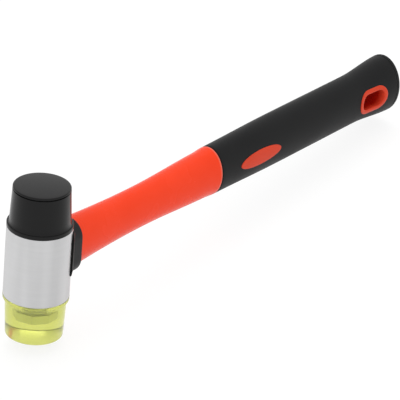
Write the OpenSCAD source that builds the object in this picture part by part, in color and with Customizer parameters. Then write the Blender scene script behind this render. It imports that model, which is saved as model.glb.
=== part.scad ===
// Soft face hammer: a steel tube head with two screw-on faces on a jacketed fibre rod handle.
// Origin at the centre of the lower striking surface, +Z up the head's axis, +X along the handle.

/* [Head] */
// Outer diameter of the head tube
tube_d = 35; // [34:0.5:42]
// Length of the head tube
tube_len = 39.8; // [39.6:0.1:60]
// Wall of the head tube
tube_wall = 2.5; // [1.5:0.1:3]
// Chamfer on the tube's rims
tube_chamfer = 0.5; // [0.1:0.1:1]

/* [Faces] */
// Height of a face, from the tube's rim to the striking surface
face_h = 23.2; // [20:0.1:30]
// How far the sides draw in from the flare to the striking end
face_taper = 0.8; // [0:0.1:3]
// How far the flare runs out from the sides to the flange
flare_w = 1.4; // [0.5:0.05:3]
// Height from the striking surface to the flare
face_body_h = 17.6; // [12:0.1:17.8]
// How far the flange stands out past the tube
flange_over = 0.05; // [0:0.05:1]
// Height of the flange
flange_h = 2.2; // [1.4:0.1:3.4]
// Rounding of the striking edge
face_edge_r = 1; // [0.4:0.1:2.5]
// How far the upper face's crown stands up at its middle
crown_h = 0.5; // [0.1:0.1:1]
// Height of the boss that centres the face in the tube
boss_h = 1; // [0.6:0.1:2]

/* [Bolts and nuts] */
// Thread diameter
bolt_d = 8; // [7:0.5:8.5]
// Thread pitch
thread_pitch = 1.25; // [1:0.05:1.5]
// Depth of the thread
thread_depth = 0.7; // [0.4:0.05:0.8]
// Length of a bolt under its head
bolt_len = 16; // [14:0.5:18]
// Length of thread that the nut holds
thread_bite = 4; // [3:0.1:4.5]
// Width of a hex head or nut across its flats
hex_af = 13; // [12:0.5:14]
// Height of a bolt's head
bolt_head_h = 5.3; // [4:0.1:6]
// Height of a nut
nut_h = 4; // [3:0.1:6.5]
// Core left over a nut, which holds it in
nut_cover = 1; // [0.6:0.1:2]
// Room in the core for the bolt's tip behind the nut
tip_room = 0.6; // [0.3:0.1:0.8]
// Outer diameter of a lock washer
washer_d = 14.8; // [12:0.1:17]
// Thickness of a lock washer
washer_t = 2; // [1:0.1:2.4]
// Width of the split in a lock washer
washer_split = 1.4; // [0.6:0.1:2]

/* [Handle] */
// How far the handle's axis sits above the middle of the head
handle_rise = 1.5; // [0:0.1:1.6]
// Distance from the head's axis to the handle's end
handle_reach = 300.7; // [290:0.1:340]
// Half height of the jacket where it leaves the head
neck_r = 14.4; // [12.6:0.1:14.6]
// Half height at the waist
waist_r = 11.9; // [11:0.1:14]
// Distance from the head's axis to the waist
waist_x = 82; // [60:1:110]
// Half height of the jacket at the grip's front edge
shoulder_r = 13.7; // [13:0.1:16]
// Distance from the head's axis to the grip's front edge
grip_x = 142.5; // [120:0.5:146]
// Step up from the jacket to the grip
grip_step = 0.45; // [0.1:0.05:0.8]
// Rounding of the grip's front lip
lip_r = 0.8; // [0.3:0.1:1.5]
// Half height at the palm
palm_r = 14.8; // [13.6:0.1:17]
// Distance from the head's axis to the palm
palm_x = 195; // [175:1:220]
// Half height in front of the end swell
dip_r = 14.6; // [13.6:0.1:17]
// Distance from the handle's end back to that dip
dip_back = 33; // [28:1:52]
// Half height of the end swell
swell_r = 16.9; // [15:0.1:18]
// Rounding of the handle's end
end_r = 1.2; // [0.5:0.1:3]
// Thickness of the grip
grip_t = 2.6; // [1.5:0.1:3]
// Thickness of the grip at the handle's end
grip_end_t = 4; // [2:0.5:5]

/* [Oval inset and hanging eye] */
// Distance from the head's axis to the middle of the oval
oval_x = 175.6; // [167:0.1:182]
// Length of the oval
oval_len = 34.5; // [25:0.5:42]
// Height of the oval
oval_h = 9; // [6:0.1:14]
// How far oval and eye stand proud of the grip
inset_proud = 0.4; // [0.05:0.05:0.5]
// Distance from the handle's end back to the middle of the eye
eye_back = 23; // [22:0.5:34]
// Length of the eye's hole
eye_len = 18; // [12:0.5:20]
// Height of the eye's hole
eye_h = 9.3; // [5:0.1:10]
// Width of the ring around the eye
ring_w = 2.7; // [1.5:0.1:4]

/* [Collar] */
// How far the collar stands out from the tube
collar_out = 5.4; // [4.4:0.1:12]
// How far the collar's middle sits above the handle's axis
collar_rise = 0.6; // [0:0.1:1]
// Half height of the collar
collar_h = 15.5; // [14.9:0.1:17]
// Half width of the collar
collar_w = 11.3; // [11.1:0.1:13]
// Corner radius of the collar
collar_corner_r = 9.5; // [3:0.5:10.5]
// Rounding of the collar's outer edge
collar_edge_r = 1.2; // [0.5:0.1:2]
// Half height of the saddle lip on the tube
saddle_h = 12.9; // [11:0.1:14]
// How far the saddle lip's middle sits above the handle's axis
saddle_rise = 3.8; // [0:0.1:4.5]
// How far the saddle lip reaches round the tube to each side, in degrees
saddle_angle = 63; // [48:1:72]
// Corner radius of the saddle lip
saddle_corner_r = 5; // [3:0.5:10]
// Thickness of the saddle lip
saddle_t = 1.1; // [0.5:0.1:1.5]
// Length of the taper at the saddle lip's ends
saddle_taper = 3; // [1:0.1:5]
// Wall of the spigot in the tube's side hole
spigot_wall = 2; // [1.2:0.1:2.4]
// Depth of the jacket's seat in the collar
seat_depth = 3; // [1:0.5:4]

/* [Rod and pin] */
// Diameter of the fibre rod
rod_d = 12; // [10:0.5:12.5]
// How far the rod reaches past the head's axis
rod_past = 9; // [4:0.5:11]
// Jacket left between the rod and the eye's hole
rod_stop = 9; // [4:0.5:20]
// Diameter of the pin through core and rod
pin_d = 3; // [2:0.5:4]
// How far the pin bites into the core beyond the rod
pin_bite = 4.5; // [2:0.5:6]

/* [Fits] */
// Gap of pressed and moulded fits
press_gap = 0.05; // [0.02:0.01:0.1]
// Gap around the bolts
run_gap = 0.15; // [0.1:0.05:0.3]
// Gap of the faces' bosses in the tube
boss_gap = 0.3; // [0.2:0.05:0.6]

/* [Hidden] */
$fn = 96;
// Every cut runs past the solid by this much
overrun = 1;
// Width of the handle as a share of its height
flat_share = 0.735;
// How the neck falls to the waist: 1 is straight, more is hollow
neck_curve_share = 2;
// Flat middle of the crown as a share of the striking surface
crown_flat_share = 0.4;
// Thickness left at the saddle lip's ends as a share of its own
saddle_tip_share = 0.5;
// Chamfer of a hex corner as a share of its radius
hex_chamfer_share = 0.1;
// Crest and root of the thread as a share of its pitch
thread_flat_share = 0.28;
// Taper at a bolt's tip, in pitches
tip_taper_share = 1.5;
// Slant of a washer's split, in degrees
split_slant = 20;
// Steps around the thread, and along each pitch
thread_sides = 16;
thread_steps = 4;
// Steps along the neck, the grip and a rounded end
neck_steps = 16;
grip_steps = 18;
end_steps = 5;
arc_steps = 5;

tube_r = tube_d / 2;
tube_ri = tube_r - tube_wall;
head_h = 2 * face_h + tube_len;
axis_z = head_h / 2 + handle_rise;
flange_r = tube_r + flange_over;
face_body_r = flange_r - flare_w;
face_tip_r = face_body_r - face_taper;
strike_r = face_tip_r - face_edge_r;
saddle_r = tube_r + saddle_t;
saddle_tip_r = tube_r + saddle_t * saddle_tip_share;
core_r = tube_ri - press_gap;
core_inset = face_h + boss_h + washer_t;
nut_z = core_inset + nut_cover;
bolt_r = bolt_d / 2;
bolt_hole_r = bolt_r + run_gap;
bolt_tip_z = nut_z + thread_bite;
bolt_seat_z = bolt_tip_z - bolt_len;
hex_r = hex_af / sqrt(3);
rod_r = rod_d / 2;
pin_r = pin_d / 2;
pin_x = (hex_r + core_r) / 2;
pin_half = rod_r + pin_bite;
spigot_r = rod_r + press_gap + spigot_wall;
collar_x = tube_r + collar_out;
jacket_x = collar_x - seat_depth;
dip_x = handle_reach - dip_back;
swell_x = handle_reach - end_r;
eye_x = handle_reach - eye_back;
rod_end_x = eye_x - eye_len / 2 - rod_stop;
through = 2 * (swell_r + overrun);

// Smooth step from r0 at x0 to r1 at x1
function ease(t) = t * t * (3 - 2 * t);
function between(x, x0, r0, x1, r1) = r0 + (r1 - r0) * ease((x - x0) / (x1 - x0));

// Evenly spaced places from a to b
function places(a, b, steps) = [for (i = [0 : steps]) a + (b - a) * i / steps];

// Half height of the jacket in front of the grip
function neck_at(x) = x < waist_x
    ? waist_r + (neck_r - waist_r) * pow((waist_x - x) / (waist_x - jacket_x), neck_curve_share)
    : between(x, waist_x, waist_r, grip_x, shoulder_r);

// Half height of the grip up to its end swell
function grip_at(x) =
    x < palm_x ? between(x, grip_x, shoulder_r + grip_step, palm_x, palm_r)
    : x < dip_x ? between(x, palm_x, palm_r, dip_x, dip_r)
    : between(x, dip_x, dip_r, swell_x, swell_r);

// Rounded edge of a flat end at x that has radius r, as points of radius and place
function flat_end(x, r) = concat([for (i = [1 : end_steps])
    let (a = 90 * i / end_steps)
    [r - end_r * (1 - cos(a)), x - end_r * (1 - sin(a))]], [[0, x]]);

// Outline of the hand end, shrunk by inset and ending short of the handle's end by back
function hand_outline(inset, back) = concat(
    [for (x = places(grip_x + lip_r, swell_x - back, grip_steps)) [grip_at(x) - inset, x]],
    flat_end(handle_reach - back, grip_at(swell_x - back) - inset));

// Quarter round from radius r - e at x to radius r at x + e
function lip(r, x, e) = [for (i = [0 : arc_steps - 1])
    let (a = 90 * i / arc_steps)
    [r - e * (1 - sin(a)), x + e * (1 - cos(a))]];

// Turns an outline of radius and place half way about the handle's axis
module half_turned(points) {
    translate([0, 0, axis_z])
        rotate([0, 90, 0])
            rotate_extrude(angle = 180)
                polygon(points);
}

// Flattens a half turned solid to the handle's oval section, and mirrors it to the other side
module flattened() {
    for (side = [0, 1])
        mirror([0, side, 0])
            scale([1, flat_share, 1])
                children();
}

// Straight round bar along the handle from x0 to x1
module bar(r, x0, x1) {
    translate([x0, 0, axis_z])
        rotate([0, 90, 0])
            cylinder(r = r, h = x1 - x0);
}

// Bar of a flat outline, drawn in X and Z, right across the handle
module across(x) {
    translate([x, through / 2, axis_z])
        rotate([90, 0, 0])
            linear_extrude(through)
                children();
}

// Outline of the eye, grown by the given amount
module eye_outline(grow) {
    r = eye_h / 2 + grow;
    half = (eye_len - eye_h) / 2;
    square([2 * half, 2 * r], center = true);
    for (side = [-1, 1])
        translate([side * half, 0])
            circle(r);
}

// Outline of the oval, grown by the given amount
module oval_outline(grow) {
    scale([(oval_len / 2 + grow) / (oval_h / 2 + grow), 1])
        circle(oval_h / 2 + grow);
}

// Rectangle of half width w and half height h with round corners
module round_box(w, h, r) {
    square([2 * w, 2 * (h - r)], center = true);
    square([2 * (w - r), 2 * h], center = true);
    for (x = [r - w, w - r], y = [r - h, h - r])
        translate([x, y])
            circle(r);
}

// Section of the saddle lip, which thins towards both ends
module saddle_section() {
    low = axis_z + saddle_rise - saddle_h;
    high = axis_z + saddle_rise + saddle_h;
    polygon([
        [tube_ri, low - overrun],
        [saddle_tip_r, low - overrun],
        [saddle_tip_r, low],
        [saddle_r, low + saddle_taper],
        [saddle_r, high - saddle_taper],
        [saddle_tip_r, high],
        [saddle_tip_r, high + overrun],
        [tube_ri, high + overrun]
    ]);
}

// Flat shape from the head's axis out to the collar's end, with its outer corners rounded
module collar_profile(half) {
    inner = half - collar_edge_r;
    translate([0, -half])
        square([collar_x - collar_edge_r, 2 * half]);
    translate([0, -inner])
        square([collar_x, 2 * inner]);
    for (side = [-1, 1])
        translate([collar_x - collar_edge_r, side * inner])
            circle(collar_edge_r);
}

// Bar of a flat shape, drawn in Y and Z, from the head's axis out to the collar's end
module outward() {
    translate([0, 0, axis_z])
        rotate([90, 0, 90])
            linear_extrude(collar_x)
                children();
}

// Mirrors what is drawn for the lower face to the upper one
module upper() {
    translate([0, 0, head_h])
        mirror([0, 0, 1])
            children();
}

// Turns what is drawn for the lower face end over end to the upper one
module flipped() {
    translate([0, 0, head_h])
        rotate([180, 0, 0])
            children();
}

// Hex bar with chamfered corners at both ends
module hex_blank(h) {
    chamfer = hex_r * hex_chamfer_share;
    intersection() {
        cylinder(r = hex_r, h = h, $fn = 6);
        rotate_extrude()
            polygon([[0, 0], [hex_r - chamfer, 0], [hex_r, chamfer], [hex_r, h - chamfer],
                     [hex_r - chamfer, h], [0, h]]);
    }
}

// Height of the thread's form at phase u of a pitch: 1 on the crest, 0 in the root
function thread_form(u) =
    let (d = abs(u - 0.5) * 2)
    max(0, min(1, (1 - thread_flat_share - d) / (1 - 2 * thread_flat_share)));

// Radius of a right-hand thread of length len at angle a and height z, tapered at its tip
function thread_at(a, z, len) =
    let (turn = z / thread_pitch - a / 360)
    let (tip = min(1, (len - z) / (tip_taper_share * thread_pitch)))
    bolt_r - thread_depth + thread_depth * tip * thread_form(turn - floor(turn));

// Threaded bar from zero up to len
module thread(len) {
    rings = ceil(len / thread_pitch * thread_steps);
    last = rings * thread_sides;
    points = [for (k = [0 : rings])
        for (j = [0 : thread_sides - 1])
            let (a = 360 * j / thread_sides)
            let (z = len * k / rings)
            let (r = thread_at(a, z, len))
            [r * cos(a), r * sin(a), z]];
    walls = [for (k = [0 : rings - 1])
        for (j = [0 : thread_sides - 1])
            let (p = k * thread_sides + j)
            let (q = k * thread_sides + (j + 1) % thread_sides)
            each [[p, p + thread_sides, q + thread_sides], [p, q + thread_sides, q]]];
    bottom = [for (j = [0 : thread_sides - 1]) j];
    top = [for (j = [thread_sides - 1 : -1 : 0]) last + j];
    polyhedron(points, concat([bottom, top], walls));
}

// A bolt, head down, moulded into the lower face
module bolt() {
    translate([0, 0, bolt_seat_z - bolt_head_h])
        hex_blank(bolt_head_h);
    translate([0, 0, bolt_seat_z - overrun])
        thread(bolt_len + overrun);
}

// Side of a face from the flare to the flange: a hollow quarter curve
function flare() = [for (i = [0 : arc_steps])
    let (a = 90 * i / arc_steps)
    [face_body_r + flare_w * (1 - cos(a)), face_body_h + (face_h - flange_h - face_body_h) * sin(a)]];

// Crown of the upper face: a flat middle that falls away to the striking edge
function crown() = concat([[0, -crown_h]], [for (i = [0 : arc_steps - 1])
    let (fall = i / arc_steps)
    [strike_r * (crown_flat_share + (1 - crown_flat_share) * fall), crown_h * (fall * fall - 1)]]);

// A face as it stands under the tube, with the space that its bolt fills
module face(end) {
    boss_r = tube_ri - boss_gap;
    edge = [for (i = [0 : arc_steps])
        let (a = 90 * i / arc_steps)
        [strike_r + face_edge_r * sin(a), face_edge_r * (1 - cos(a))]];
    difference() {
        rotate_extrude()
            polygon(concat(end, edge, flare(),
                [[flange_r, face_h], [boss_r, face_h], [boss_r, face_h + boss_h], [0, face_h + boss_h]]));
        translate([0, 0, bolt_seat_z - bolt_head_h])
            hex_blank(bolt_head_h);
        translate([0, 0, bolt_seat_z - overrun])
            cylinder(r = bolt_hole_r, h = face_h + boss_h - bolt_seat_z + 2 * overrun);
    }
}

// A split lock washer under the face's boss
module washer() {
    translate([0, 0, face_h + boss_h])
        difference() {
            cylinder(d = washer_d, h = washer_t);
            translate([0, 0, -overrun])
                cylinder(r = bolt_hole_r, h = washer_t + 2 * overrun);
            translate([0, washer_d / 2, washer_t / 2])
                rotate([0, split_slant, 0])
                    cube([washer_split, washer_d, 2 * washer_t + 2 * overrun], center = true);
        }
}

// A hex nut held in the core
module nut() {
    translate([0, 0, nut_z])
        difference() {
            hex_blank(nut_h);
            translate([0, 0, -overrun])
                cylinder(r = bolt_hole_r, h = nut_h + 2 * overrun);
        }
}

// The space in the core for a nut and its bolt
module nut_pocket() {
    translate([0, 0, nut_z])
        hex_blank(nut_h);
    translate([0, 0, core_inset - overrun])
        cylinder(r = bolt_hole_r, h = nut_cover + nut_h + tip_room + overrun);
}

module head_tube() {
    rim = face_h + tube_len;
    color("silver")
        difference() {
            rotate_extrude()
                polygon([[tube_ri, face_h], [tube_r - tube_chamfer, face_h], [tube_r, face_h + tube_chamfer],
                         [tube_r, rim - tube_chamfer], [tube_r - tube_chamfer, rim], [tube_ri, rim]]);
            bar(spigot_r + press_gap, 0, tube_r + overrun);
        }
}

module head_core() {
    color("ivory")
        difference() {
            translate([0, 0, core_inset])
                cylinder(r = core_r, h = head_h - 2 * core_inset);
            bar(rod_r + press_gap, -rod_past - press_gap, tube_r);
            nut_pocket();
            upper() nut_pocket();
            translate([pin_x, 0, axis_z - pin_half - press_gap])
                cylinder(r = pin_r + press_gap, h = axis_z);
        }
}

module upper_nut() {
    color("darkgray")
        upper() nut();
}

module lower_nut() {
    color("darkgray")
        nut();
}

module handle_pin() {
    color("dimgray")
        translate([pin_x, 0, axis_z - pin_half])
            cylinder(r = pin_r, h = 2 * pin_half);
}

module collar() {
    seat = concat([[0, jacket_x - press_gap]],
        [for (x = [jacket_x - press_gap, collar_x + overrun])
            [neck_at(max(x, jacket_x)) + press_gap / flat_share, x]],
        [[0, collar_x + overrun]]);
    color("#262626")
        difference() {
            union() {
                translate([0, 0, collar_rise])
                    intersection() {
                        outward()
                            round_box(collar_w, collar_h, collar_corner_r);
                        translate([0, 0, axis_z - collar_h])
                            linear_extrude(2 * collar_h)
                                collar_profile(collar_w);
                        translate([0, collar_w, axis_z])
                            rotate([90, 0, 0])
                                linear_extrude(2 * collar_w)
                                    collar_profile(collar_h);
                    }
                intersection() {
                    rotate([0, 0, -saddle_angle])
                        rotate_extrude(angle = 2 * saddle_angle)
                            saddle_section();
                    translate([0, 0, saddle_rise])
                        outward()
                            round_box(saddle_r, saddle_h, saddle_corner_r);
                }
            }
            difference() {
                cylinder(r = tube_r, h = head_h);
                bar(spigot_r, tube_ri + press_gap, tube_r);
            }
            bar(rod_r + press_gap, 0, collar_x + overrun);
            flattened()
                half_turned(seat);
        }
}

module handle_rod() {
    color("khaki")
        difference() {
            bar(rod_r, -rod_past, rod_end_x);
            translate([pin_x, 0, axis_z - pin_half])
                cylinder(r = pin_r + press_gap, h = 2 * pin_half);
        }
}

module handle_jacket() {
    neck = concat([[0, jacket_x]],
        [for (x = places(jacket_x, grip_x, neck_steps)) [neck_at(x), x]]);
    hidden = hand_outline(grip_t + press_gap, grip_end_t + press_gap);
    bury = shoulder_r + grip_step - grip_t - press_gap;
    color("orangered")
        difference() {
            flattened()
                difference() {
                    union() {
                        half_turned(concat(neck, [[bury, grip_x]], hidden));
                        intersection() {
                            half_turned(concat([[0, grip_x + lip_r]], hand_outline(-inset_proud, 0)));
                            union() {
                                across(oval_x) oval_outline(0);
                                across(eye_x) eye_outline(ring_w);
                            }
                        }
                    }
                    across(eye_x) eye_outline(0);
                }
            bar(rod_r + press_gap, 0, rod_end_x + press_gap);
        }
}

module grip() {
    outside = concat([[0, grip_x + press_gap]], lip(shoulder_r + grip_step, grip_x + press_gap, lip_r),
        hand_outline(0, 0));
    inside = concat([[0, grip_x - overrun], [shoulder_r + grip_step - grip_t, grip_x - overrun]],
        hand_outline(grip_t, grip_end_t));
    color("#282929")
        flattened()
            difference() {
                half_turned(outside);
                half_turned(inside);
                across(oval_x) oval_outline(press_gap);
                across(eye_x) eye_outline(ring_w + press_gap);
            }
}

module upper_face() {
    color("#2a2a2a")
        upper() face(crown());
}

module upper_bolt() {
    color("lightgray")
        flipped() bolt();
}

module upper_washer() {
    color("gray")
        flipped() washer();
}

module lower_face() {
    color("#dede60", 0.6)
        face([[0, 0]]);
}

module lower_bolt() {
    color("lightgray")
        bolt();
}

module lower_washer() {
    color("gray")
        washer();
}

head_tube();
head_core();
upper_nut();
lower_nut();
handle_pin();
collar();
handle_rod();
handle_jacket();
grip();
upper_face();
upper_bolt();
upper_washer();
lower_face();
lower_bolt();
lower_washer();
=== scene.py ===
import math

import bmesh
import bpy
from mathutils import Matrix, Vector


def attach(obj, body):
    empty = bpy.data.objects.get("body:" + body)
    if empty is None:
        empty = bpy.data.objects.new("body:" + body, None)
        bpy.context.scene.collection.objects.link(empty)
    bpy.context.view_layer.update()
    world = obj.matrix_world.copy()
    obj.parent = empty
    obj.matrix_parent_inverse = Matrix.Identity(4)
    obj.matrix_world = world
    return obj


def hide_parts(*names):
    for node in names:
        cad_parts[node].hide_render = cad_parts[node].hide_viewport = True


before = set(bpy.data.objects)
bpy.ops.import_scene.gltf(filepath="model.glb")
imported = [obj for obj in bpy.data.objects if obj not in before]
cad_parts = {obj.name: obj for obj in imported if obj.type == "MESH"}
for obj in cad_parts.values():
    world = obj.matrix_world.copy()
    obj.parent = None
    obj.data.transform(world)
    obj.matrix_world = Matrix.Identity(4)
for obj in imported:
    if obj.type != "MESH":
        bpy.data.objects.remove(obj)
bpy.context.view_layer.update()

# Sizes of the hammer in metres, in the part's own frame
MM = 0.001
HEAD_H = 86.2 * MM
CROWN_H = 0.5 * MM
HANDLE_Z = 44.6 * MM
TUBE_R = 17.5 * MM
TUBE_BORE_R = 15.0 * MM
TUBE_LEN = 39.8 * MM
TUBE_RIM_R = 0.2 * MM
SIDE_HOLE_R = 8.1 * MM

FACE_H = 23.2 * MM
FACE_TIP_R = 15.35 * MM
FACE_BODY_R = 16.15 * MM
FACE_BODY_H = 17.6 * MM
LOWER_EDGE_R = 1.0 * MM
UPPER_EDGE_R = 0.7 * MM
LEDGE_W = 0.25 * MM
FLANGE_R = 17.55 * MM
FLANGE_H = 2.2 * MM
FLANGE_EDGE_R = 0.45 * MM
FLANGE_RIM_H = 0.2 * MM
FLANGE_RIM_W = 0.15 * MM
BOSS_R = 14.7 * MM
BOSS_H = 1.0 * MM
BOSS_RIM = 0.2 * MM

BOLT_R = 4.0 * MM
BOLT_SEAT_Z = 15.2 * MM
BOLT_TIP_Z = 31.2 * MM
BOLT_HEAD_H = 5.3 * MM
HEX_R = 7.506 * MM
HEX_RIM_W = 0.9 * MM
HEX_EDGE_R = 0.5 * MM
THREAD_PITCH = 1.25 * MM
THREAD_DEPTH = 0.7 * MM
THREAD_STEPS = 40

COLLAR_X = 22.9 * MM
COLLAR_W = 11.3 * MM
COLLAR_H = 15.5 * MM
COLLAR_Z = HANDLE_Z + 0.6 * MM
COLLAR_CORNER_R = 9.5 * MM
COLLAR_EDGE_R = 1.2 * MM
COLLAR_SOFT_R = 0.25 * MM
SADDLE_X = COLLAR_X - 2.0 * MM
SADDLE_R = 18.6 * MM
SADDLE_H = 12.9 * MM
SADDLE_Z = HANDLE_Z + 3.8 * MM
SADDLE_CORNER_R = 5.0 * MM
SADDLE_REACH = math.radians(63)
SADDLE_TAPER = 3.0 * MM
SADDLE_TIP_R = TUBE_R + 0.55 * MM

FLAT = 0.735
JACKET_X = 19.9 * MM
NECK_R = 14.4 * MM
WAIST_X = 82.0 * MM
WAIST_R = 11.9 * MM
SHOULDER_R = 13.7 * MM
JACKET_EDGE_R = 0.6 * MM
JACKET_GAP = 0.3 * MM
JACKET_FLARE = 0.5 * MM
JACKET_FLARE_LEN = 9.0 * MM
GRIP_X = 142.5 * MM
GRIP_FRONT_R = SHOULDER_R + 0.45 * MM
GRIP_T = 2.6 * MM
GRIP_END_T = 4.0 * MM
GRIP_SEAT = 0.05 * MM
LIP_R = 0.8 * MM
PALM_X = 195.0 * MM
PALM_R = 14.8 * MM
DIP_X = 267.7 * MM
DIP_R = 14.6 * MM
SWELL_R = 16.9 * MM
REACH = 300.7 * MM
END_R = 1.2 * MM
END_LINE_X = REACH - 2.8 * MM
END_LINE_DEPTH = 0.22 * MM

OVAL_X = 175.6 * MM
OVAL_LEN = 34.5 * MM
OVAL_H = 9.0 * MM
OVAL_Z = HANDLE_Z + 0.4 * MM
OVAL_RIM_W = 0.3 * MM
EYE_X = 277.7 * MM
EYE_LEN = 18.0 * MM
EYE_H = 9.3 * MM
EYE_R = EYE_H / 2
EYE_HALF = (EYE_LEN - EYE_H) / 2
EYE_WINDOW_W = 1.2 * MM
RING_W = 2.7 * MM
PROUD = 0.4 * MM

# Clearance of two surfaces, reach of a cutter past its work, points that merge, points in one place
HAIR = 0.02 * MM
OVER = 1.0 * MM
MERGE = 0.01 * MM
CLOSE = 0.001 * MM

# Where outlines start beside the handle, and the length of a bar right across it
BESIDE_Y = -40.0 * MM
ACROSS = 60.0 * MM

# Sides of round pieces
ROUND = 128
ROUND_FINE = 192
ROUND_HANDLE = 96
ROUND_SMALL = 64

# Crown of the upper face, as shares of its radius
CROWN_SHARES = (0.1, 0.25, 0.4, 0.55, 0.7, 0.85)

# Crease below the upper face's edge and notch over a flange, in millimetres behind and out from it
CREASE = ((0.9, -0.02), (1.05, -0.45), (1.5, -0.5), (1.75, 0.03))
NOTCH = ((0.22, 0.06), (0.2, 0.2))

# One turn of the thread, as shares of its pitch and depth
THREAD_FORM = ((0.14, 0), (0.22, 1), (0.28, 0), (0.22, -1), (0.14, 0))

# Line near the grip's end, in millimetres along and as a share of its depth
END_LINE = ((-0.5, 0), (-0.2, 1), (0.1, 1), (0.3, 0))

# Edge of an oval pad, in millimetres inwards and wider
OVAL_EDGE = ((0.04, 0.14), (0.1, 0.1), (0.2, 0.06), (1.2, 0))

# Bands of the eye's ring and the fall of its outer and inner edge, in millimetres
RING_BANDS = (0.12, 0.13, 0.65, 0.7, 0.5, 0.3, 0.2, 0.1)
RING_OUTER_FALL = ((0.2, 0.08), (0.06, 0.6))
RING_INNER_FALL = ((0.7, 0.06), (0.4, 0.14), (0.2, 0.24), (0.05, 0.3))


# Modelling by hand

def deselect():
    """Lets go of every object."""
    bpy.ops.object.select_all(action="DESELECT")


def only(piece):
    """Makes one object the selected and active one."""
    deselect()
    piece.select_set(True)
    bpy.context.view_layer.objects.active = piece


def edit(piece):
    """Opens one object in edit mode."""
    only(piece)
    bpy.ops.object.mode_set(mode="EDIT")


def select_all():
    """Takes the whole mesh, in edit mode."""
    bpy.ops.mesh.select_all(action="SELECT")


def started(name):
    """The primitive just added, with its name, and with its place in its mesh."""
    piece = bpy.context.object
    piece.name = name
    bpy.ops.object.transform_apply(location=True, rotation=True, scale=True)
    return piece


def done(piece, smooth_angle=35):
    """Leaves edit mode with closed seams, outward faces and smooth shading up to an angle."""
    if piece.mode == "EDIT":
        select_all()
        bpy.ops.mesh.remove_doubles(threshold=MERGE)
        bpy.ops.mesh.normals_make_consistent(inside=False)
        bpy.ops.object.mode_set(mode="OBJECT")
    only(piece)
    bpy.ops.object.shade_smooth_by_angle(angle=math.radians(smooth_angle))
    return piece


def pick(piece, kind, test):
    """Selects the vertices, edges or faces whose middle passes the test, and nothing else."""
    bpy.ops.mesh.select_all(action="DESELECT")
    bpy.ops.mesh.select_mode(type={"verts": "VERT", "edges": "EDGE", "faces": "FACE"}[kind])
    mesh = bmesh.from_edit_mesh(piece.data)
    for part in getattr(mesh, kind):
        if kind == "verts":
            middle = part.co
        elif kind == "edges":
            middle = (part.verts[0].co + part.verts[1].co) / 2
        else:
            middle = part.calc_center_median()
        if test(middle, part):
            part.select_set(True)
    mesh.select_flush_mode()
    bmesh.update_edit_mesh(piece.data)


def rim(piece):
    """Selects the open edge of a sheet."""
    pick(piece, "edges", lambda middle, part: part.is_boundary)


def modify(piece, kind, **settings):
    """Adds a modifier and applies it."""
    only(piece)
    modifier = piece.modifiers.new(kind.title(), kind)
    for key, value in settings.items():
        setattr(modifier, key, value)
    bpy.ops.object.modifier_apply(modifier=modifier.name)


def cut(piece, cutter, operation="DIFFERENCE"):
    """Cuts a piece with another mesh, which is then thrown away."""
    modify(piece, "BOOLEAN", operation=operation, object=cutter, solver="EXACT")
    bpy.data.objects.remove(cutter)


def join(piece, *others):
    """Makes other objects part of a piece."""
    only(piece)
    for other in others:
        other.select_set(True)
    bpy.ops.object.join()


def at(axis, place):
    """A point on the head's axis or on the handle's axis."""
    return Vector((place, 0, HANDLE_Z)) if axis == "X" else Vector((0, 0, place))


def turned(name, rings, axis="Z", sides=ROUND):
    """A round piece, left in edit mode: a circle pulled along its axis and scaled, ring by ring."""
    place, radius = rings[0]
    lean = (0, math.pi / 2, 0) if axis == "X" else (0, 0, 0)
    deselect()
    bpy.ops.mesh.primitive_circle_add(vertices=sides, radius=radius, location=at(axis, place),
                                      rotation=lean)
    piece = started(name)
    edit(piece)
    select_all()
    bpy.ops.mesh.edge_face_add()
    pick(piece, "edges", lambda middle, part: True)
    for new_place, new_radius in rings[1:]:
        grow = new_radius / radius
        bpy.ops.mesh.extrude_edges_move(
            TRANSFORM_OT_translate={"value": at(axis, new_place) - at(axis, place)})
        bpy.ops.transform.resize(
            value=(1, grow, grow) if axis == "X" else (grow, grow, 1),
            center_override=at(axis, new_place))
        place, radius = new_place, new_radius
    bpy.ops.mesh.edge_face_add()
    return piece


def arc(steps):
    """Angles in radians from nought to a right angle."""
    return [math.radians(90 * i / steps) for i in range(steps + 1)]


def rounded_start(start, radius, edge, steps):
    """Rings that round a piece's first edge, from its end face out to its side."""
    return [(start + edge * (1 - math.cos(a)), radius - edge * (1 - math.sin(a))) for a in arc(steps)]


def rounded_end(end, radius, edge, steps):
    """Rings that round a piece's last edge, from its side in to its end face."""
    return [(end - edge * (1 - math.sin(a)), radius - edge * (1 - math.cos(a))) for a in arc(steps)]


# Faces, bolts and tube of the head

def face_rings(upper):
    """Rings of a striking face, from its edge back. The upper one has a crown and a crease."""
    edge_r = UPPER_EDGE_R if upper else LOWER_EDGE_R
    rings = rounded_start(0, FACE_TIP_R, edge_r, steps=6)
    if upper:
        flat_r = FACE_TIP_R - edge_r
        crown = [(CROWN_H * (share ** 2 - 1), flat_r * share) for share in CROWN_SHARES]
        crease = [(back * MM, FACE_TIP_R + out * MM) for back, out in CREASE]
        rings = crown + rings + crease
    ledge_z = FACE_H - FLANGE_H
    ledge_r = FLANGE_R - FLANGE_EDGE_R - LEDGE_W
    rings += [(FACE_BODY_H + (ledge_z - FACE_BODY_H) * math.sin(a),
               FACE_BODY_R + (ledge_r - FACE_BODY_R) * (1 - math.cos(a))) for a in arc(8)]
    rings += [(ledge_z + back * MM, ledge_r + out * MM) for back, out in NOTCH]
    rings += rounded_start(ledge_z, FLANGE_R, FLANGE_EDGE_R, steps=5)
    rings += [(FACE_H - FLANGE_RIM_H, FLANGE_R), (FACE_H, FLANGE_R - FLANGE_RIM_W), (FACE_H, BOSS_R),
              (FACE_H + BOSS_H - BOSS_RIM, BOSS_R), (FACE_H + BOSS_H, BOSS_R - BOSS_RIM)]
    return rings


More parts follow.
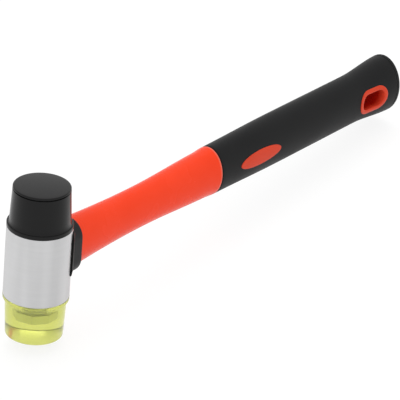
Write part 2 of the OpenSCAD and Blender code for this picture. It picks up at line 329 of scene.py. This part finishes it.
def striking_face(name, upper):
    """A face with its flange and boss, at the upper or the lower end of the head."""
    rings = face_rings(upper)
    if upper:
        rings = [(HEAD_H - z, r) for z, r in rings]
    return done(turned(name, rings))


def thread_bar(name, low, high):
    """A right-hand thread along the head's axis, spun from one point's path and closed at both ends."""
    deselect()
    bpy.ops.mesh.primitive_plane_add(size=MM, enter_editmode=True, location=(0, 0, 0))
    piece = bpy.context.object
    piece.name = name
    bpy.ops.mesh.select_mode(type="VERT")
    select_all()
    bpy.ops.mesh.merge(type="CENTER")
    bpy.ops.transform.translate(value=(BOLT_R - THREAD_DEPTH, 0, low - THREAD_PITCH))
    for rise, out in THREAD_FORM:
        bpy.ops.mesh.extrude_vertices_move(
            TRANSFORM_OT_translate={"value": (out * THREAD_DEPTH, 0, rise * THREAD_PITCH)})
    bpy.ops.object.mode_set(mode="OBJECT")
    turns = math.ceil((high - low) / THREAD_PITCH) + 2
    modify(piece, "SCREW", axis="Z", angle=2 * math.pi, screw_offset=THREAD_PITCH, iterations=turns,
           steps=THREAD_STEPS, render_steps=THREAD_STEPS, use_merge_vertices=True, merge_threshold=CLOSE)
    edit(piece)
    for height, side in ((low, -1), (high, 1)):
        select_all()
        bpy.ops.mesh.bisect(plane_co=(0, 0, height), plane_no=(0, 0, side), use_fill=True,
                            clear_outer=True, threshold=CLOSE)
    return done(piece)


def hex_head():
    """The bolt's head, with its upper and lower edges rounded."""
    deselect()
    bpy.ops.mesh.primitive_cylinder_add(vertices=6, radius=HEX_R, depth=BOLT_HEAD_H,
                                        location=(0, 0, BOLT_SEAT_Z - BOLT_HEAD_H / 2))
    head = started("hex_head")
    edit(head)
    pick(head, "faces", lambda middle, part: abs(part.normal.z) > 0.9)
    bpy.ops.mesh.inset(thickness=HEX_RIM_W)

    def on_edge(middle, part):
        one, other = part.verts[0].co, part.verts[1].co
        level = abs(one.z - other.z) < MM
        return level and max(one.xy.length, other.xy.length) > HEX_R * 0.99

    pick(head, "edges", on_edge)
    bpy.ops.mesh.bevel(offset=HEX_EDGE_R, segments=3, affect="EDGES")
    return done(head, smooth_angle=30)


def bolt(name, upper):
    """A hex bolt that stands head down in the lower face, or turned over in the upper one."""
    head = hex_head()
    bar = thread_bar(name, BOLT_SEAT_Z - OVER, BOLT_TIP_Z)
    join(bar, head)
    if upper:
        edit(bar)
        select_all()
        bpy.ops.transform.rotate(value=math.pi, orient_axis="X", center_override=(0, 0, HEAD_H / 2))
        bpy.ops.object.mode_set(mode="OBJECT")
    return bar


def head_tube():
    """The tube with rounded rims, its bore, and the hole for the collar's spigot."""
    low, high = FACE_H, FACE_H + TUBE_LEN
    rings = rounded_start(low, TUBE_R, TUBE_RIM_R, steps=4)
    rings += rounded_end(high, TUBE_R, TUBE_RIM_R, steps=4)
    piece = done(turned("head_tube_skin", rings))
    bore = turned("bore", [(low - OVER, TUBE_BORE_R), (high + OVER, TUBE_BORE_R)])
    cut(piece, done(bore))
    hole = turned("hole", [(0, SIDE_HOLE_R), (TUBE_R + OVER, SIDE_HOLE_R)], axis="X", sides=ROUND_SMALL)
    cut(piece, done(hole))
    return done(piece)


# Collar between head and handle

def rounded_block(name, half_w, half_h, corner_r, middle_z, end_x):
    """A block from the head's axis along the handle, with rounded long edges, left in edit mode."""
    deselect()
    bpy.ops.mesh.primitive_cube_add(size=1, location=(end_x / 2, 0, middle_z))
    bpy.ops.transform.resize(value=(end_x, 2 * half_w, 2 * half_h))
    piece = started(name)
    edit(piece)
    pick(piece, "edges", lambda middle, part: abs(part.verts[0].co.x - part.verts[1].co.x) > MM)
    bpy.ops.mesh.bevel(offset=corner_r, segments=12, affect="EDGES")
    return piece


def saddle_lip():
    """The lip that lies round the tube and thins to its upper and lower end."""
    lip = rounded_block("saddle", SADDLE_R, SADDLE_H, SADDLE_CORNER_R, SADDLE_Z, SADDLE_X)
    for side in (-1, 1):
        select_all()
        bpy.ops.mesh.bisect(plane_co=(0, 0, 0), use_fill=True, clear_outer=True,
                            plane_no=(-math.sin(SADDLE_REACH), side * math.cos(SADDLE_REACH), 0))
    done(lip)
    low, high = SADDLE_Z - SADDLE_H, SADDLE_Z + SADDLE_H
    limit = turned("limit", [
        (low - OVER, SADDLE_TIP_R), (low, SADDLE_TIP_R), (low + SADDLE_TAPER, SADDLE_R),
        (high - SADDLE_TAPER, SADDLE_R), (high, SADDLE_TIP_R), (high + OVER, SADDLE_TIP_R)],
        sides=ROUND_FINE)
    cut(lip, done(limit), "INTERSECT")
    return lip


def collar():
    """The ferrule with its saddle lip, hollowed to sit on the tube."""
    body = rounded_block("collar_body", COLLAR_W, COLLAR_H, COLLAR_CORNER_R, COLLAR_Z, COLLAR_X)
    pick(body, "edges", lambda middle, part: middle.x > COLLAR_X - MERGE)
    bpy.ops.mesh.bevel(offset=COLLAR_EDGE_R, segments=5, affect="EDGES")
    done(body)
    cut(body, saddle_lip(), "UNION")
    tube = turned("tube", [(0, TUBE_R + HAIR), (HEAD_H + OVER, TUBE_R + HAIR)], sides=ROUND_FINE)
    cut(body, done(tube))
    modify(body, "BEVEL", width=COLLAR_SOFT_R, segments=3, limit_method="ANGLE",
           angle_limit=math.radians(40))
    return done(body, smooth_angle=50)


# Handle: jacket and grip

def ease(t):
    """A smooth way from 0 to 1."""
    t = min(max(t, 0.0), 1.0)
    return t * t * (3 - 2 * t)


def between(x, x0, r0, x1, r1):
    """A smooth way from one radius to another along the handle."""
    return r0 + (r1 - r0) * ease((x - x0) / (x1 - x0))


def neck_radius(x):
    """Half height of the neck, which narrows to its waist and widens to the shoulder."""
    if x < WAIST_X:
        return WAIST_R + (NECK_R - WAIST_R) * ((WAIST_X - x) / (WAIST_X - JACKET_X)) ** 2
    return between(x, WAIST_X, WAIST_R, GRIP_X, SHOULDER_R)


def jacket_radius(x):
    """The neck, flared at its end to the height of the grip's lip."""
    return neck_radius(x) + JACKET_FLARE * ease((x - GRIP_X) / JACKET_FLARE_LEN + 1)


def grip_radius(x):
    """Half height of the grip: palm, dip and the swell at its end."""
    if x < PALM_X:
        return between(x, GRIP_X, GRIP_FRONT_R, PALM_X, PALM_R)
    if x < DIP_X:
        return between(x, PALM_X, PALM_R, DIP_X, DIP_R)
    return between(x, DIP_X, DIP_R, REACH - END_R, SWELL_R)


def places(start, end, steps):
    """Evenly spaced places along the handle."""
    return [start + (end - start) * i / steps for i in range(steps + 1)]


def flatten(piece):
    """Presses the round handle to its oval section."""
    select_all()
    bpy.ops.transform.resize(value=(1, FLAT, 1), center_override=(0, 0, HANDLE_Z))
    return done(piece)


def hand_rings(inset, short):
    """Rings of the hand end, drawn in by an inset and ending short of the handle's end."""
    end = REACH - short
    rings = [(x, grip_radius(x) - inset) for x in places(GRIP_X + LIP_R, end - END_R, steps=64)]
    last_r = rings[-1][1]
    return rings + rounded_end(end, last_r, END_R, steps=6)[1:]


def grip_skin():
    """The grip's outside: rounded lip, hand end and the shallow line near its end."""
    rings = rounded_start(GRIP_X, GRIP_FRONT_R, LIP_R, steps=5)[:-1]
    line = [(END_LINE_X + along * MM, grip_radius(END_LINE_X) - share * END_LINE_DEPTH)
            for along, share in END_LINE]
    rings += sorted(hand_rings(inset=0, short=0) + line)
    return flatten(turned("grip_skin", rings, axis="X", sides=ROUND_HANDLE))


def stretch_to_slot(piece):
    """Pulls the two halves of a circle at the hanging eye apart to the slot's length."""
    for side in (-1, 1):
        pick(piece, "verts", lambda middle, part: (middle.x - EYE_X) * side > CLOSE)
        bpy.ops.transform.translate(value=(side * EYE_HALF, 0, 0))


def from_slot(point):
    """How far a point lies from the slot's middle line, seen from the side."""
    along = max(abs(point.x - EYE_X) - EYE_HALF, 0)
    return math.hypot(along, point.z - HANDLE_Z)


def slot_bar(grow):
    """A bar with round ends right across the handle at the hanging eye."""
    deselect()
    bpy.ops.mesh.primitive_cylinder_add(vertices=ROUND_SMALL, radius=EYE_R + grow, depth=ACROSS,
                                        location=(EYE_X, 0, HANDLE_Z), rotation=(math.pi / 2, 0, 0))
    bar = started("slot")
    edit(bar)
    stretch_to_slot(bar)
    return done(bar)


def wrapped(piece, target):
    """Lays a flat outline that stands beside the handle onto its surface, a little proud of it."""
    modify(piece, "SHRINKWRAP", wrap_method="PROJECT", use_project_x=False, use_project_y=True,
           use_project_z=False, use_positive_direction=True, use_negative_direction=False,
           target=target, offset=PROUD)


def both_sides():
    """Copies what lies on one side of the handle to the other, in edit mode."""
    select_all()
    bpy.ops.mesh.duplicate()
    bpy.ops.transform.resize(value=(1, -1, 1), center_override=(0, 0, HANDLE_Z))


def oval_pad(target):
    """The oval inset on both sides, with a rounded edge."""
    deselect()
    bpy.ops.mesh.primitive_circle_add(vertices=ROUND_SMALL, radius=1, location=(OVAL_X, BESIDE_Y, OVAL_Z),
                                      rotation=(math.pi / 2, 0, 0))
    bpy.ops.transform.resize(value=(OVAL_LEN / 2 - OVAL_RIM_W, 1, OVAL_H / 2 - OVAL_RIM_W))
    pad = started("oval_pad")
    edit(pad)
    select_all()
    bpy.ops.mesh.fill_grid(span=16)
    bpy.ops.object.mode_set(mode="OBJECT")
    wrapped(pad, target)
    edit(pad)
    rim(pad)
    for sink, widen in OVAL_EDGE:
        bpy.ops.mesh.extrude_edges_move(TRANSFORM_OT_translate={"value": (0, sink * MM, 0)})
        bpy.ops.transform.resize(
            value=(1 + 2 * widen * MM / OVAL_LEN, 1, 1 + 2 * widen * MM / OVAL_H),
            center_override=(OVAL_X, 0, OVAL_Z))
    bpy.ops.mesh.edge_face_add()
    both_sides()
    return done(pad)


def eye_ring(target):
    """The raised ring round the hanging eye on both sides, and the walls between them."""
    outer_r = EYE_R + RING_W
    inner_r = EYE_R + 0.1 * MM
    deselect()
    bpy.ops.mesh.primitive_circle_add(vertices=ROUND_SMALL, radius=outer_r, fill_type="NGON",
                                      location=(EYE_X, BESIDE_Y, HANDLE_Z), rotation=(math.pi / 2, 0, 0))
    ring = started("eye_ring")
    edit(ring)
    stretch_to_slot(ring)
    bpy.ops.mesh.select_mode(type="FACE")
    select_all()
    for width in RING_BANDS:
        bpy.ops.mesh.inset(thickness=width * MM)
    bpy.ops.mesh.delete(type="FACE")
    bpy.ops.object.mode_set(mode="OBJECT")
    wrapped(ring, target)
    edit(ring)
    for limit, sink in RING_OUTER_FALL:
        pick(ring, "verts", lambda middle, part: from_slot(middle) > outer_r - limit * MM)
        bpy.ops.transform.translate(value=(0, sink * MM, 0))
    for limit, sink in RING_INNER_FALL:
        pick(ring, "verts", lambda middle, part: from_slot(middle) < EYE_R + limit * MM)
        bpy.ops.transform.translate(value=(0, sink * MM, 0))
    both_sides()
    pick(ring, "edges", lambda middle, part: part.is_boundary and from_slot(middle) < inner_r)
    bpy.ops.mesh.bridge_edge_loops(number_cuts=6)
    rim(ring)
    bpy.ops.mesh.bridge_edge_loops()
    return done(ring)


def jacket(target):
    """The neck with its rounded end, the seat under the grip, and the pads and ring that show through it."""
    neck_end = GRIP_X - JACKET_GAP
    rings = [(x, jacket_radius(x)) for x in places(JACKET_X, neck_end - JACKET_EDGE_R, steps=72)]
    last_r = rings[-1][1]
    rings += rounded_end(neck_end, last_r, JACKET_EDGE_R, steps=5)[1:]
    rings += [(GRIP_X + HAIR, GRIP_FRONT_R - GRIP_T - GRIP_SEAT)]
    rings += hand_rings(inset=GRIP_T + GRIP_SEAT, short=GRIP_END_T)
    piece = flatten(turned("jacket", rings, axis="X", sides=ROUND_HANDLE))
    cut(piece, slot_bar(HAIR))
    join(piece, oval_pad(target), eye_ring(target))
    return done(piece)


def grip(skin):
    """The skin, cut through at the eye and hollowed for the jacket."""
    cut(skin, slot_bar(EYE_WINDOW_W))
    rings = [(GRIP_X - OVER, GRIP_FRONT_R - GRIP_T)] + hand_rings(inset=GRIP_T, short=GRIP_END_T)
    hollow = flatten(turned("hollow", rings, axis="X", sides=ROUND_HANDLE))
    cut(skin, hollow)
    return done(skin)


# Finishes

# Range of a noise mask that counts
MASK_LOW = 0.3
MASK_HIGH = 0.7

# Places of the sockets of a colour mix
MIX_SHARE = 0
MIX_FIRST = 6
MIX_SECOND = 7
MIX_COLOUR = 2

# Where a finish changes, from the start of the change to its end
# Painted shade on the collar's lip, fading out towards the collar's body
LIP_SHADE_TO_BODY = (SADDLE_R + 0.05 * MM, SADDLE_R + 0.6 * MM)
# Painted shade in the hanging eye: on its wall, deeper towards the handle's middle
EYE_WALL = (EYE_R + 0.45 * MM, EYE_R + 0.1 * MM)
EYE_SHADE_DEPTH = (10.4 * MM, 7.2 * MM)
# Painted highlight: a pale band on the neck just before the grip
HIGHLIGHT_EDGE = (GRIP_X - 1.9 * MM, GRIP_X - 0.9 * MM)
# Painted light: the lower face turns paler towards its striking end
PAINTED_LIGHT_END = (7.0 * MM, 3.0 * MM)
WORN_END = (0.6 * MM, 0.05 * MM)

# Painted shade, a painted highlight and painted light at these places
LIP_PAINTED_SHADE = (0.001, 0.001, 0.001, 1)
EYE_PAINTED_SHADE = (0.4, 0.008, 0.002, 1)
PAINTED_HIGHLIGHT_ORANGE = (0.78, 0.15, 0.1, 1)
PAINTED_LIGHT_YELLOW = (0.84, 0.87, 0.23, 1)


def new_material(name):
    """A material with its node tree and its shader."""
    material = bpy.data.materials.new(name)
    material.use_nodes = True
    tree = material.node_tree
    return material, tree, tree.nodes["Principled BSDF"]


def node(tree, kind, **settings):
    """A new node with values of its sockets, or settings of its own."""
    made = tree.nodes.new(kind)
    for key, value in settings.items():
        if key in made.inputs:
            made.inputs[key].default_value = value
        else:
            setattr(made, key, value)
    return made


def feed(tree, value, socket):
    """Links a socket to another one, or gives it a fixed value."""
    if isinstance(value, bpy.types.NodeSocket):
        tree.links.new(value, socket)
    else:
        socket.default_value = value


def maths(tree, operation, first, second):
    """A number worked out from two others."""
    made = node(tree, "ShaderNodeMath", operation=operation)
    feed(tree, first, made.inputs[0])
    feed(tree, second, made.inputs[1])
    return made.outputs["Value"]


def vector(tree, operation, first, second=None):
    """A vector, or its length, worked out from one or two others."""
    made = node(tree, "ShaderNodeVectorMath", operation=operation)
    feed(tree, first, made.inputs[0])
    if second is not None:
        feed(tree, second, made.inputs[1])
    return made.outputs["Value" if operation == "LENGTH" else "Vector"]


def on_piece(tree):
    """Places on a piece, in its own frame."""
    return node(tree, "ShaderNodeTexCoord").outputs["Object"]


def split(tree, place):
    """The three numbers of a place."""
    parts = node(tree, "ShaderNodeSeparateXYZ")
    feed(tree, place, parts.inputs["Vector"])
    return parts.outputs


def faded(tree, source, start, end, low=0.0, high=1.0):
    """Turns a number between start and end into one between low and high."""
    spread = node(tree, "ShaderNodeMapRange")
    for socket, value in (("From Min", start), ("From Max", end), ("To Min", low), ("To Max", high)):
        spread.inputs[socket].default_value = value
    feed(tree, source, spread.inputs["Value"])
    return spread.outputs["Result"]


def ranged(tree, mask, low, high):
    """Spreads a mask about 0.5 over a range of values."""
    return faded(tree, mask, MASK_LOW, MASK_HIGH, low, high)


def tinted(tree, mask, dark, light):
    """Colour between two tones of one finish, by a mask about 0.5."""
    ramp = node(tree, "ShaderNodeValToRGB")
    first, last = ramp.color_ramp.elements
    first.position = MASK_LOW
    first.color = (*dark, 1)
    last.position = MASK_HIGH
    last.color = (*light, 1)
    feed(tree, mask, ramp.inputs["Fac"])
    return ramp.outputs["Color"]


def mixed(tree, share, first, second, blend="MIX"):
    """Two colours mixed by a share."""
    mix = node(tree, "ShaderNodeMix", data_type="RGBA", blend_type=blend)
    feed(tree, share, mix.inputs[MIX_SHARE])
    feed(tree, first, mix.inputs[MIX_FIRST])
    feed(tree, second, mix.inputs[MIX_SECOND])
    return mix.outputs[MIX_COLOUR]


def bumped(tree, mask, depth, shader):
    """Raises the surface by a mask."""
    bump = node(tree, "ShaderNodeBump", Strength=1.0, Distance=depth)
    feed(tree, mask, bump.inputs["Height"])
    feed(tree, bump.outputs["Normal"], shader.inputs["Normal"])


def effect(name, inputs, outputs):
    """An empty node group with named number sockets."""
    tree = bpy.data.node_groups.new(name, "ShaderNodeTree")
    for socket in inputs:
        tree.interface.new_socket(socket, in_out="INPUT", socket_type="NodeSocketFloat")
    for socket in outputs:
        tree.interface.new_socket(socket, in_out="OUTPUT", socket_type="NodeSocketFloat")
    taken = node(tree, "NodeGroupInput").outputs
    given = node(tree, "NodeGroupOutput").inputs
    return tree, taken, given


def placed(tree, group, values):
    """Places an effect in a material with its own values."""
    made = node(tree, "ShaderNodeGroup", node_tree=group)
    for socket, value in values.items():
        made.inputs[socket].default_value = value
    return made.outputs


def moulded_grain():
    """Fine grain and slow cloudiness of a moulded surface, as two masks about 0.5."""
    tree, taken, given = effect("Moulded grain", ("Grain Scale", "Cloud Scale"), ("Grain", "Cloud"))
    place = on_piece(tree)
    grain = node(tree, "ShaderNodeTexNoise", Detail=2.0, Roughness=0.6)
    cloud = node(tree, "ShaderNodeTexNoise", Detail=3.0, Roughness=0.5)
    for noise, scale, mask in ((grain, "Grain Scale", "Grain"), (cloud, "Cloud Scale", "Cloud")):
        feed(tree, place, noise.inputs["Vector"])
        feed(tree, taken[scale], noise.inputs["Scale"])
        feed(tree, noise.outputs["Fac"], given[mask])
    return tree


def lathe_lines():
    """Lines that a lathe leaves round the head's axis, and slow random bands along it that are painted
    reflections, as two masks about 0.5.
    """
    tree, taken, given = effect("Lathe lines", ("Line Scale", "Reflection Band Scale"), ("Lines", "Reflection Bands"))
    place = on_piece(tree)
    around = node(tree, "ShaderNodeCombineXYZ", X=30.0, Y=30.0)
    feed(tree, taken["Line Scale"], around.inputs["Z"])
    lines = node(tree, "ShaderNodeTexNoise", Scale=1.0, Detail=3.0, Roughness=0.65)
    feed(tree, vector(tree, "MULTIPLY", place, around.outputs[0]), lines.inputs["Vector"])
    # Painted reflections: slow random bands that run along the axis, for studio lights seen in satin steel
    reflection_bands = node(tree, "ShaderNodeTexNoise", Detail=1.0, Roughness=0.4)
    feed(tree, vector(tree, "MULTIPLY", place, (1, 1, 0.08)), reflection_bands.inputs["Vector"])
    feed(tree, taken["Reflection Band Scale"], reflection_bands.inputs["Scale"])
    feed(tree, lines.outputs["Fac"], given["Lines"])
    feed(tree, reflection_bands.outputs["Fac"], given["Reflection Bands"])
    return tree


GRAIN = moulded_grain()
LATHE = lathe_lines()


def moulded(name, dark, light, rough, specular, grain_scale, depth):
    """Moulded plastic or rubber: two close tones, uneven gloss and a fine grain."""
    material, tree, shader = new_material(name)
    grain = placed(tree, GRAIN, {"Grain Scale": grain_scale, "Cloud Scale": 60})
    feed(tree, tinted(tree, grain["Cloud"], dark, light), shader.inputs["Base Color"])
    feed(tree, ranged(tree, grain["Cloud"], *rough), shader.inputs["Roughness"])
    bumped(tree, grain["Grain"], depth, shader)
    shader.inputs["Specular IOR Level"].default_value = specular
    return material


def turned_steel(name, dark, light, rough, line_scale, line_tone, depth):
    """Steel turned on a lathe: fine lines round the head's axis and faint painted reflections in bands along
    it.
    """
    material, tree, shader = new_material(name)
    lathe = placed(tree, LATHE, {"Line Scale": line_scale, "Reflection Band Scale": 110})
    # Painted reflection: faint lighter and darker bands along the axis
    banded = tinted(tree, lathe["Reflection Bands"], dark, light)
    lined = tinted(tree, lathe["Lines"], (line_tone,) * 3, (1, 1, 1))
    feed(tree, mixed(tree, 1.0, banded, lined, "MULTIPLY"), shader.inputs["Base Color"])
    feed(tree, ranged(tree, lathe["Lines"], *rough), shader.inputs["Roughness"])
    bumped(tree, lathe["Lines"], depth, shader)
    shader.inputs["Metallic"].default_value = 1.0
    return material


def black_collar():
    """Moulded black, with painted shade that makes the lip near black where it hugs the tube."""
    material = moulded("Black collar", (0.011, 0.011, 0.0112), (0.015, 0.015, 0.0152), rough=(0.4, 0.5),
                       specular=0.14, grain_scale=2400, depth=0.015 * MM)
    tree = material.node_tree
    colour = tree.nodes["Principled BSDF"].inputs["Base Color"]
    body = colour.links[0].from_socket
    level = vector(tree, "MULTIPLY", on_piece(tree), (1, 1, 0))
    from_axis = vector(tree, "LENGTH", level)
    # Painted shade: near black on the lip close to the tube, for the shade in the gap between them
    on_body = faded(tree, from_axis, *LIP_SHADE_TO_BODY)
    feed(tree, mixed(tree, on_body, LIP_PAINTED_SHADE, body), colour)
    return material


def painted_eye_shade(tree, place):
    """A mask of painted shade on the hanging eye's wall, which grows with depth."""
    centred = vector(tree, "SUBTRACT", place, (EYE_X, 0, HANDLE_Z))
    folded = vector(tree, "ABSOLUTE", centred)
    # One metre off the depth leaves only the distance seen from the side
    shortened = vector(tree, "SUBTRACT", folded, (EYE_HALF, 1, 0))
    rest = vector(tree, "MAXIMUM", shortened, (0, 0, 0))
    distance = vector(tree, "LENGTH", rest)
    wall = faded(tree, distance, *EYE_WALL)
    depth = faded(tree, split(tree, folded)["Y"], *EYE_SHADE_DEPTH, low=0.1)
    return maths(tree, "MULTIPLY", wall, depth)


def glossy_orange():
    """Glossy orange with a painted highlight at its edge by the grip, a duller tone on the pads and ring, and
    painted shade inside the eye.
    """
    material, tree, shader = new_material("Glossy orange jacket")
    place = on_piece(tree)
    along = split(tree, place)["X"]
    grain = placed(tree, GRAIN, {"Grain Scale": 700, "Cloud Scale": 40})
    neck = tinted(tree, grain["Cloud"], (0.88, 0.053, 0.0142), (0.92, 0.061, 0.0192))
    pads = tinted(tree, grain["Cloud"], (0.64, 0.055, 0.022), (0.7, 0.062, 0.028))
    # Painted highlight: a pale pinkish band at the neck's end by the grip
    highlight_share = faded(tree, along, *HIGHLIGHT_EDGE)
    highlighted = mixed(tree, highlight_share, neck, PAINTED_HIGHLIGHT_ORANGE)
    hand_end = maths(tree, "GREATER_THAN", along, GRIP_X + MM)
    outside = mixed(tree, hand_end, highlighted, pads)
    # Painted shade: a deep red on the eye's wall, darkest at the middle of the handle
    inside = painted_eye_shade(tree, place)
    feed(tree, mixed(tree, inside, outside, EYE_PAINTED_SHADE), shader.inputs["Base Color"])
    feed(tree, ranged(tree, grain["Cloud"], 0.22, 0.3), shader.inputs["Roughness"])
    bumped(tree, grain["Grain"], 0.006 * MM, shader)
    shader.inputs["Specular IOR Level"].default_value = 0.085
    return material


def clear_yellow():
    """Translucent yellow urethane that shows the bolt inside it, paler near its end as painted light, and
    worn rough at its end.
    """
    material, tree, shader = new_material("Clear yellow face")
    height = split(tree, on_piece(tree))["Z"]
    grain = placed(tree, GRAIN, {"Grain Scale": 900, "Cloud Scale": 70})
    body = tinted(tree, grain["Cloud"], (0.67, 0.71, 0.135), (0.73, 0.76, 0.185))
    # Painted light: paler yellow near the end, for light passing through the face onto the floor
    painted_light_share = faded(tree, height, *PAINTED_LIGHT_END)
    feed(tree, mixed(tree, painted_light_share, body, PAINTED_LIGHT_YELLOW), shader.inputs["Base Color"])
    gloss = ranged(tree, grain["Cloud"], 0.07, 0.12)
    worn = faded(tree, height, *WORN_END, high=0.12)
    feed(tree, maths(tree, "ADD", gloss, worn), shader.inputs["Roughness"])
    bumped(tree, grain["Grain"], 0.004 * MM, shader)
    shader.inputs["Transmission Weight"].default_value = 0.78
    shader.inputs["IOR"].default_value = 1.5
    return material


def dress(piece, material):
    """Gives an object one finish."""
    piece.data.materials.clear()
    piece.data.materials.append(material)


def finish(piece, material, body, node_name):
    """Gives a modelled piece its finish and says where it belongs."""
    dress(piece, material)
    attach(piece, body)
    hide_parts(node_name)


steel = turned_steel("Satin turned steel", (0.56, 0.56, 0.565), (0.65, 0.65, 0.655), rough=(0.3, 0.42),
                     line_scale=550, line_tone=0.94, depth=0.006 * MM)
zinc = turned_steel("Zinc plated steel", (0.72, 0.73, 0.74), (0.84, 0.85, 0.86), rough=(0.28, 0.42),
                    line_scale=900, line_tone=0.96, depth=0.003 * MM)
grip_black = moulded("Matte black grip", (0.0088, 0.009, 0.0093), (0.0116, 0.0118, 0.0121),
                     rough=(0.43, 0.53), specular=0.11, grain_scale=2600, depth=0.03 * MM)
face_black = moulded("Black rubber face", (0.0035, 0.0035, 0.0036), (0.0055, 0.0055, 0.0056),
                     rough=(0.18, 0.26), specular=0.21, grain_scale=2200, depth=0.012 * MM)
core_ivory = moulded("Ivory core", (0.66, 0.62, 0.5), (0.74, 0.7, 0.58), rough=(0.4, 0.55),
                     specular=0.5, grain_scale=1500, depth=0.02 * MM)
rod_fibre = moulded("Fibre rod", (0.6, 0.52, 0.3), (0.72, 0.64, 0.4), rough=(0.35, 0.5),
                    specular=0.5, grain_scale=1800, depth=0.02 * MM)

skin = grip_skin()
finish(jacket(skin), glossy_orange(), "head", "handle_jacket")
finish(grip(skin), grip_black, "head", "grip")
finish(collar(), black_collar(), "head", "collar")
finish(head_tube(), steel, "head", "head_tube")
finish(striking_face("upper_face_skin", True), face_black, "upper_face", "upper_face")
finish(striking_face("lower_face_skin", False), clear_yellow(), "lower_face", "lower_face")
finish(bolt("upper_bolt_screw", True), zinc, "upper_face", "upper_bolt")
finish(bolt("lower_bolt_screw", False), zinc, "lower_face", "lower_bolt")

dress(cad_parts["head_core"], core_ivory)
dress(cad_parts["handle_rod"], rod_fibre)
for name in ("upper_nut", "lower_nut", "handle_pin", "upper_washer", "lower_washer"):
    dress(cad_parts[name], zinc)


# Floor, light and camera

# The floor lies as the hammer rests, lowered to leave the lower face room to unscrew
FLOOR_SIZE = 12.0
FLOOR_TILT = math.radians(5.6)
FLOOR_Z = -5.3 * MM

# The floor's own tone, and the white that the eye sees in it with its share
FLOOR_TONE = (0.86, 0.86, 0.86, 1)
FLOOR_WHITE = 1.08
FLOOR_WHITE_SHARE = 0.76

# The white room as a light and as a sight
ROOM_LIGHT = 0.9
ROOM_SIGHT = 1.0

# Where the lamps aim
HAMMER_MIDDLE = Vector((0.12, 0, 0.04))

# The camera that fits the photograph's outlines: its lens, its place and its own three axes
LENS = 450
CAMERA_PLACE = Vector((-1.797009, -1.436063, 1.260485))
CAMERA_RIGHT = Vector((0.621845, -0.780295, 0.066702))
CAMERA_UP = Vector((0.319910, 0.330840, 0.887808))
CAMERA_BACK = Vector((-0.714820, -0.530740, 0.455355))


def white_to_the_eye(tree):
    """1 for rays from the camera, a reflection or a refraction, which see a white studio."""
    rays = node(tree, "ShaderNodeLightPath").outputs
    seen = maths(tree, "MAXIMUM", rays["Is Camera Ray"], rays["Is Glossy Ray"])
    return maths(tree, "MAXIMUM", seen, rays["Is Transmission Ray"])


def studio_world():
    """An even white room, a little less bright as a light than as a sight."""
    world = bpy.data.worlds.new("White studio")
    bpy.context.scene.world = world
    world.use_nodes = True
    tree = world.node_tree
    background = tree.nodes["Background"]
    background.inputs["Color"].default_value = (1, 1, 1, 1)
    level = faded(tree, white_to_the_eye(tree), 0.0, 1.0, ROOM_LIGHT, ROOM_SIGHT)
    feed(tree, level, background.inputs["Strength"])


def floor():
    """A wide pale floor that keeps a part of the hammer's shadow."""
    deselect()
    bpy.ops.mesh.primitive_plane_add(size=FLOOR_SIZE, location=(FACE_TIP_R, 0, FLOOR_Z),
                                     rotation=(0, -FLOOR_TILT, 0))
    plane = bpy.context.object
    plane.name = "floor"
    material, tree, shader = new_material("Pale floor")
    shader.inputs["Base Color"].default_value = FLOOR_TONE
    shader.inputs["Roughness"].default_value = 0.9
    shader.inputs["Specular IOR Level"].default_value = 0.0
    white = node(tree, "ShaderNodeEmission", Strength=FLOOR_WHITE)
    mix = node(tree, "ShaderNodeMixShader")
    feed(tree, maths(tree, "MULTIPLY", white_to_the_eye(tree), FLOOR_WHITE_SHARE), mix.inputs[0])
    feed(tree, shader.outputs[0], mix.inputs[1])
    feed(tree, white.outputs[0], mix.inputs[2])
    feed(tree, mix.outputs[0], tree.nodes["Material Output"].inputs["Surface"])
    dress(plane, material)


def soft_light(name, place, size, power):
    """A square lamp aimed at the hammer. Reflections show the white room and not the lamp."""
    data = bpy.data.lights.new(name, "AREA")
    data.shape = "SQUARE"
    data.size = size
    data.energy = power
    lamp = bpy.data.objects.new(name, data)
    bpy.context.scene.collection.objects.link(lamp)
    lamp.location = place
    lamp.rotation_euler = (HAMMER_MIDDLE - Vector(place)).to_track_quat("-Z", "Y").to_euler()
    lamp.visible_glossy = False


def camera():
    """A long lens at the photograph's viewing angle."""
    data = bpy.data.cameras.new("camera")
    data.sensor_width = 36
    data.lens = LENS
    data.clip_end = 100
    eye = bpy.data.objects.new("camera", data)
    bpy.context.scene.collection.objects.link(eye)
    turn = Matrix((CAMERA_RIGHT, CAMERA_UP, CAMERA_BACK)).transposed()
    eye.matrix_world = Matrix.Translation(CAMERA_PLACE) @ turn.to_4x4()
    bpy.context.scene.camera = eye


studio_world()
floor()
soft_light("key", (0.75, 0.5, 1.35), size=1.1, power=6.5)
soft_light("fill", (-1.4, -0.6, 0.9), size=1.4, power=4)
camera()
bpy.context.scene.view_settings.view_transform = "Standard"
